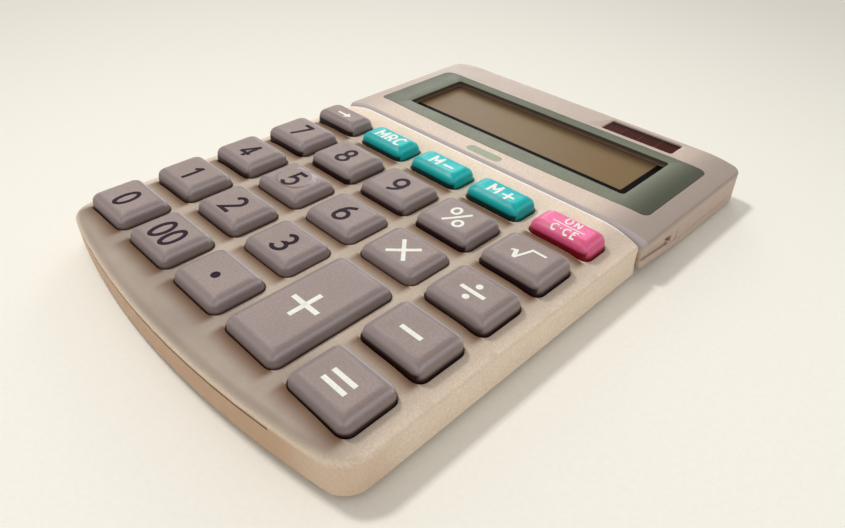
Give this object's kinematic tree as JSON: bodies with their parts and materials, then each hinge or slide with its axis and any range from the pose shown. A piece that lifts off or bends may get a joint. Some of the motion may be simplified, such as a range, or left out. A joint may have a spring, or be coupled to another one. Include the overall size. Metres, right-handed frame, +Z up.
{
  "type": "desktop calculator",
  "caption": "Flat desktop calculator with sprung plastic keys, a solar cell and a display head that tilts up about a friction hinge at the back of the keypad.",
  "frame": {"origin": "on the table, under the middle of the calculator's outline", "axes": "+X to the user's right, +Y away from the user towards the display head, +Z up"},
  "size_m": [0.1022, 0.1388, 0.014],
  "materials": {
    "body_plastic": "warm ivory moulded plastic with a fine texture",
    "head_plastic": "ivory moulded plastic, a little pinker than the body",
    "base_plastic": "ivory moulded plastic",
    "grey_key": "warm mauve grey moulded plastic, satin",
    "teal_key": "teal moulded plastic, satin",
    "pink_key": "pink moulded plastic, satin",
    "bezel_plastic": "grey green satin plastic",
    "black_plastic": "black plastic",
    "display_glass": "glass display with a brown green reflector, unlit",
    "solar_glass": "dark red brown solar cell glass",
    "board_laminate": "green solder resist",
    "soft_rubber": "grey silicone rubber",
    "foot_rubber": "black rubber",
    "steel": "plain steel",
    "brass": "spring brass",
    "ribbon_film": "amber polyimide film"
  },
  "bodies": {
    "keypad_body": {"keypad_cover": "body_plastic", "base_cover": "base_plastic", "circuit_board": "board_laminate", "rubber_keypad": "soft_rubber", "base_screw_front_left": "steel", "base_screw_front_right": "steel", "base_screw_back_left": "steel", "base_screw_back_right": "steel", "body_foot_front_left": "foot_rubber", "body_foot_front_right": "foot_rubber", "body_foot_back_left": "foot_rubber", "body_foot_back_right": "foot_rubber", "ribbon_cable": "ribbon_film"},
    "display_head": {"head_front_shell": "head_plastic", "head_rear_shell": "head_plastic", "display_bezel": "bezel_plastic", "display_frame": "black_plastic", "display_panel": "display_glass", "display_board": "board_laminate", "controller_chip": "black_plastic", "solar_cell": "solar_glass", "battery_cell": "steel", "battery_contact_positive": "brass", "battery_contact_negative": "brass", "battery_door": "head_plastic", "battery_door_screw": "steel", "head_screw_front_left": "steel", "head_screw_front_right": "steel", "head_screw_back_left": "steel", "head_screw_back_right": "steel", "head_foot_left": "foot_rubber", "head_foot_right": "foot_rubber", "hinge_pin_left": "steel", "hinge_pin_right": "steel", "hinge_washer_left": "steel", "hinge_washer_right": "steel"},
    "key_0": {"key_0": "grey_key"},
    "key_00": {"key_00": "grey_key"},
    "key_point": {"key_point": "grey_key"},
    "key_equals": {"key_equals": "grey_key"},
    "key_1": {"key_1": "grey_key"},
    "key_2": {"key_2": "grey_key"},
    "key_3": {"key_3": "grey_key"},
    "key_minus": {"key_minus": "grey_key"},
    "key_4": {"key_4": "grey_key"},
    "key_5": {"key_5": "grey_key"},
    "key_6": {"key_6": "grey_key"},
    "key_multiply": {"key_multiply": "grey_key"},
    "key_divide": {"key_divide": "grey_key"},
    "key_7": {"key_7": "grey_key"},
    "key_8": {"key_8": "grey_key"},
    "key_9": {"key_9": "grey_key"},
    "key_percent": {"key_percent": "grey_key"},
    "key_root": {"key_root": "grey_key"},
    "key_shift": {"key_shift": "grey_key"},
    "key_memory_recall": {"key_memory_recall": "teal_key"},
    "key_memory_minus": {"key_memory_minus": "teal_key"},
    "key_memory_plus": {"key_memory_plus": "teal_key"},
    "key_on_clear": {"key_on_clear": "pink_key"},
    "key_plus": {"key_plus": "grey_key"}
  },
  "joints": [
    {"name": "display_tilt", "type": "hinge", "parent": "keypad_body", "child": "display_head", "pos_m": [0, 0.0326, 0.0053], "axis": [1, 0, 0], "range_deg": [0, 12], "deforming": ["ribbon_cable"]},
    {"name": "press_0", "type": "slide", "parent": "keypad_body", "child": "key_0", "axis": [0, 0, -1], "range_m": [0, 0.0012], "stiffness_N_per_m": 120, "springref_m": -0.002, "deforming": ["rubber_keypad"]},
    {"name": "press_00", "type": "slide", "parent": "keypad_body", "child": "key_00", "axis": [0, 0, -1], "range_m": [0, 0.0012], "stiffness_N_per_m": 120, "springref_m": -0.002, "deforming": ["rubber_keypad"]},
    {"name": "press_point", "type": "slide", "parent": "keypad_body", "child": "key_point", "axis": [0, 0, -1], "range_m": [0, 0.0012], "stiffness_N_per_m": 120, "springref_m": -0.002, "deforming": ["rubber_keypad"]},
    {"name": "press_equals", "type": "slide", "parent": "keypad_body", "child": "key_equals", "axis": [0, 0, -1], "range_m": [0, 0.0012], "stiffness_N_per_m": 120, "springref_m": -0.002, "deforming": ["rubber_keypad"]},
    {"name": "press_1", "type": "slide", "parent": "keypad_body", "child": "key_1", "axis": [0, 0, -1], "range_m": [0, 0.0012], "stiffness_N_per_m": 120, "springref_m": -0.002, "deforming": ["rubber_keypad"]},
    {"name": "press_2", "type": "slide", "parent": "keypad_body", "child": "key_2", "axis": [0, 0, -1], "range_m": [0, 0.0012], "stiffness_N_per_m": 120, "springref_m": -0.002, "deforming": ["rubber_keypad"]},
    {"name": "press_3", "type": "slide", "parent": "keypad_body", "child": "key_3", "axis": [0, 0, -1], "range_m": [0, 0.0012], "stiffness_N_per_m": 120, "springref_m": -0.002, "deforming": ["rubber_keypad"]},
    {"name": "press_minus", "type": "slide", "parent": "keypad_body", "child": "key_minus", "axis": [0, 0, -1], "range_m": [0, 0.0012], "stiffness_N_per_m": 120, "springref_m": -0.002, "deforming": ["rubber_keypad"]},
    {"name": "press_4", "type": "slide", "parent": "keypad_body", "child": "key_4", "axis": [0, 0, -1], "range_m": [0, 0.0012], "stiffness_N_per_m": 120, "springref_m": -0.002, "deforming": ["rubber_keypad"]},
    {"name": "press_5", "type": "slide", "parent": "keypad_body", "child": "key_5", "axis": [0, 0, -1], "range_m": [0, 0.0012], "stiffness_N_per_m": 120, "springref_m": -0.002, "deforming": ["rubber_keypad"]},
    {"name": "press_6", "type": "slide", "parent": "keypad_body", "child": "key_6", "axis": [0, 0, -1], "range_m": [0, 0.0012], "stiffness_N_per_m": 120, "springref_m": -0.002, "deforming": ["rubber_keypad"]},
    {"name": "press_multiply", "type": "slide", "parent": "keypad_body", "child": "key_multiply", "axis": [0, 0, -1], "range_m": [0, 0.0012], "stiffness_N_per_m": 120, "springref_m": -0.002, "deforming": ["rubber_keypad"]},
    {"name": "press_divide", "type": "slide", "parent": "keypad_body", "child": "key_divide", "axis": [0, 0, -1], "range_m": [0, 0.0012], "stiffness_N_per_m": 120, "springref_m": -0.002, "deforming": ["rubber_keypad"]},
    {"name": "press_7", "type": "slide", "parent": "keypad_body", "child": "key_7", "axis": [0, 0, -1], "range_m": [0, 0.0012], "stiffness_N_per_m": 120, "springref_m": -0.002, "deforming": ["rubber_keypad"]},
    {"name": "press_8", "type": "slide", "parent": "keypad_body", "child": "key_8", "axis": [0, 0, -1], "range_m": [0, 0.0012], "stiffness_N_per_m": 120, "springref_m": -0.002, "deforming": ["rubber_keypad"]},
    {"name": "press_9", "type": "slide", "parent": "keypad_body", "child": "key_9", "axis": [0, 0, -1], "range_m": [0, 0.0012], "stiffness_N_per_m": 120, "springref_m": -0.002, "deforming": ["rubber_keypad"]},
    {"name": "press_percent", "type": "slide", "parent": "keypad_body", "child": "key_percent", "axis": [0, 0, -1], "range_m": [0, 0.0012], "stiffness_N_per_m": 120, "springref_m": -0.002, "deforming": ["rubber_keypad"]},
    {"name": "press_root", "type": "slide", "parent": "keypad_body", "child": "key_root", "axis": [0, 0, -1], "range_m": [0, 0.0012], "stiffness_N_per_m": 120, "springref_m": -0.002, "deforming": ["rubber_keypad"]},
    {"name": "press_shift", "type": "slide", "parent": "keypad_body", "child": "key_shift", "axis": [0, 0, -1], "range_m": [0, 0.0012], "stiffness_N_per_m": 120, "springref_m": -0.002, "deforming": ["rubber_keypad"]},
    {"name": "press_memory_recall", "type": "slide", "parent": "keypad_body", "child": "key_memory_recall", "axis": [0, 0, -1], "range_m": [0, 0.0012], "stiffness_N_per_m": 120, "springref_m": -0.002, "deforming": ["rubber_keypad"]},
    {"name": "press_memory_minus", "type": "slide", "parent": "keypad_body", "child": "key_memory_minus", "axis": [0, 0, -1], "range_m": [0, 0.0012], "stiffness_N_per_m": 120, "springref_m": -0.002, "deforming": ["rubber_keypad"]},
    {"name": "press_memory_plus", "type": "slide", "parent": "keypad_body", "child": "key_memory_plus", "axis": [0, 0, -1], "range_m": [0, 0.0012], "stiffness_N_per_m": 120, "springref_m": -0.002, "deforming": ["rubber_keypad"]},
    {"name": "press_on_clear", "type": "slide", "parent": "keypad_body", "child": "key_on_clear", "axis": [0, 0, -1], "range_m": [0, 0.0012], "stiffness_N_per_m": 120, "springref_m": -0.002, "deforming": ["rubber_keypad"]},
    {"name": "press_plus", "type": "slide", "parent": "keypad_body", "child": "key_plus", "axis": [0, 0, -1], "range_m": [0, 0.0012], "stiffness_N_per_m": 120, "springref_m": -0.002, "deforming": ["rubber_keypad"]}
  ]
}
